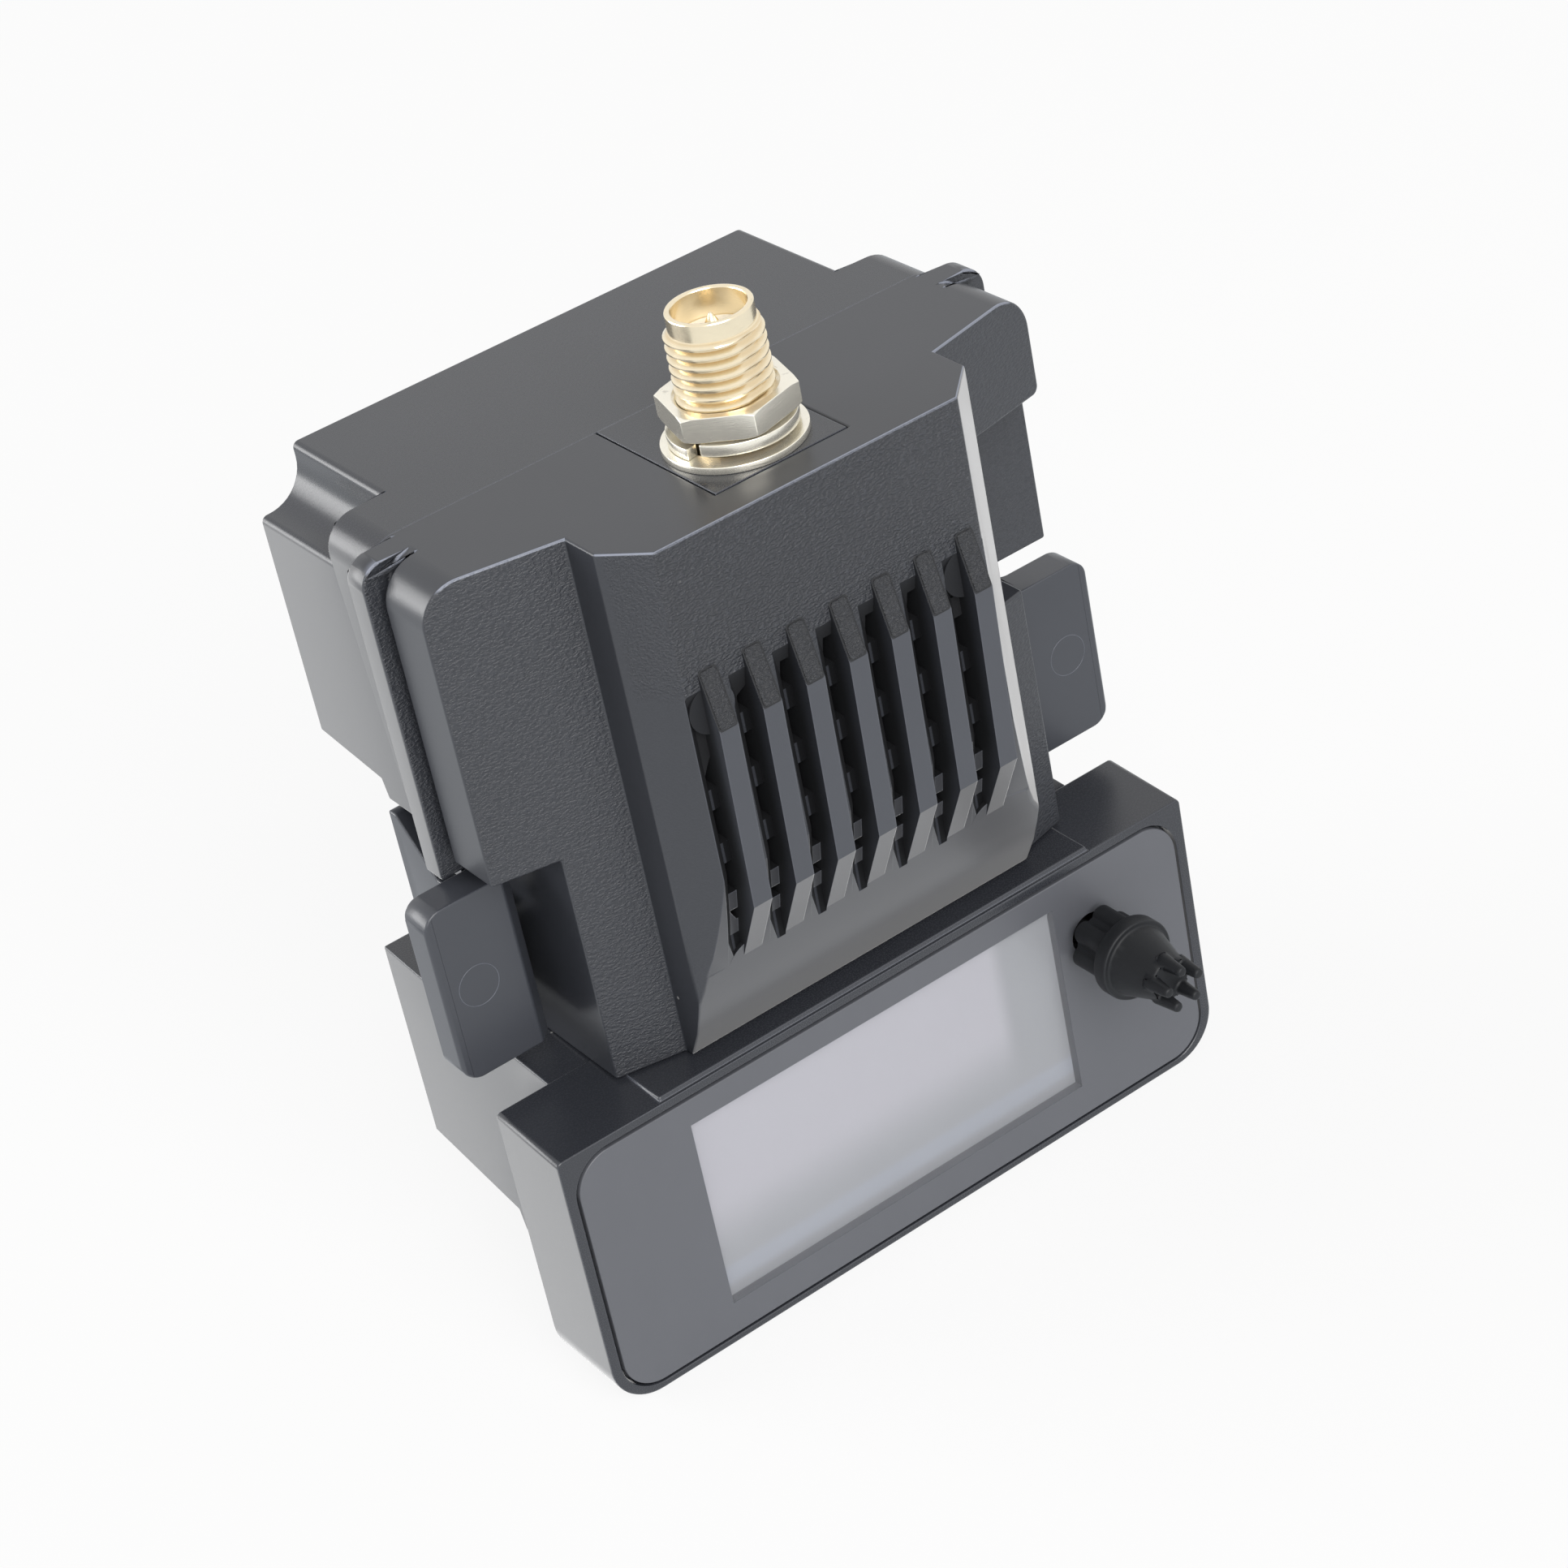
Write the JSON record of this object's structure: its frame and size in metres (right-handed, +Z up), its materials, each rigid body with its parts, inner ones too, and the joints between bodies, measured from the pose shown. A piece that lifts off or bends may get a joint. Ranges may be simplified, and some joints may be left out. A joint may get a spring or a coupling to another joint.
{
  "type": "transmitter module",
  "caption": "Plug-in radio transmitter module with a finned vent grille, gold threaded antenna jack, side latches and a lower screen block with a small joystick.",
  "frame": {"origin": "bottom centre of the bounding box, level with the lowest edge of the screen block", "axes": "+Z up towards the antenna, +Y into the module bay, screen and grille facing -Y, +X to the right seen from the front"},
  "size_m": [0.055, 0.039, 0.0702],
  "materials": {
    "housing": "satin moulded",
    "cover": "spark textured and satin moulded",
    "screen_case": "satin moulded",
    "panel": "satin sheet",
    "display": "pane over an unlit display",
    "module_black": "matt",
    "plate": "satin",
    "gold": "gold plated",
    "insulator": "matt",
    "lead": "smooth jacket",
    "board": "lacquered",
    "component": "matt",
    "tin": "tin plated",
    "sink": "anodised",
    "fan": "satin",
    "ribbon": "film",
    "screw": "blackened",
    "spring": "drawn wire",
    "cap": "satin",
    "latch": "satin moulded"
  },
  "bodies": {
    "case": {"rear_housing": "housing", "front_cover": "cover", "screen_housing": "screen_case", "screen_panel": "panel", "display_glass": "display", "display_module": "module_black", "antenna_plate": "plate", "jack_body": "gold", "jack_insulator": "insulator", "jack_centre_pin": "gold", "jack_flat_washer": "gold", "jack_lock_washer": "gold", "jack_nut": "gold", "antenna_lead": "lead", "lead_plug": "gold", "main_board": "board", "board_components": "component", "rf_shield": "tin", "heat_sink": "sink", "fan_frame": "fan", "screen_board": "board", "board_link": "ribbon", "bay_socket": "component", "bay_contacts": "gold", "case_screws": "screw", "board_screws": "screw", "fan_screws": "screw", "left_latch_pin": "screw", "right_latch_pin": "screw", "left_latch_spring": "spring", "right_latch_spring": "spring", "joystick_switch": "tin"},
    "left_latch": {"left_latch": "latch"},
    "right_latch": {"right_latch": "latch"},
    "fan_rotor": {"fan_rotor": "fan"},
    "joystick_gimbal": {"joystick_gimbal": "tin"},
    "joystick_rocker": {"joystick_rocker": "tin"},
    "joystick_stick": {"joystick_stem": "component", "joystick_cap": "cap"}
  },
  "joints": [
    {"name": "left_latch_squeeze", "type": "slide", "parent": "case", "child": "left_latch", "axis": [1, 0, 0], "range_m": [0, 0.001], "stiffness_N_per_m": 250, "springref_m": -0.001, "deforming": ["left_latch_spring"]},
    {"name": "right_latch_squeeze", "type": "slide", "parent": "case", "child": "right_latch", "axis": [-1, 0, 0], "range_m": [0, 0.001], "stiffness_N_per_m": 250, "springref_m": -0.001, "deforming": ["right_latch_spring"]},
    {"name": "fan_spin", "type": "hinge", "parent": "case", "child": "fan_rotor", "pos_m": [0, -0.00125, 0.0391], "axis": [0, 1, 0], "continuous": true},
    {"name": "joystick_tilt_up_down", "type": "hinge", "parent": "case", "child": "joystick_gimbal", "pos_m": [0.0173, -0.00695, 0.015], "axis": [1, 0, 0], "range_deg": [-5, 5], "stiffness_Nm_per_rad": 0.02},
    {"name": "joystick_tilt_left_right", "type": "hinge", "parent": "joystick_gimbal", "child": "joystick_rocker", "pos_m": [0.0173, -0.00695, 0.015], "axis": [0, 0, 1], "range_deg": [-5, 5], "stiffness_Nm_per_rad": 0.02},
    {"name": "joystick_press", "type": "slide", "parent": "joystick_rocker", "child": "joystick_stick", "axis": [0, 1, 0], "range_m": [0, 0.00025], "stiffness_N_per_m": 400, "springref_m": -0.0005}
  ]
}
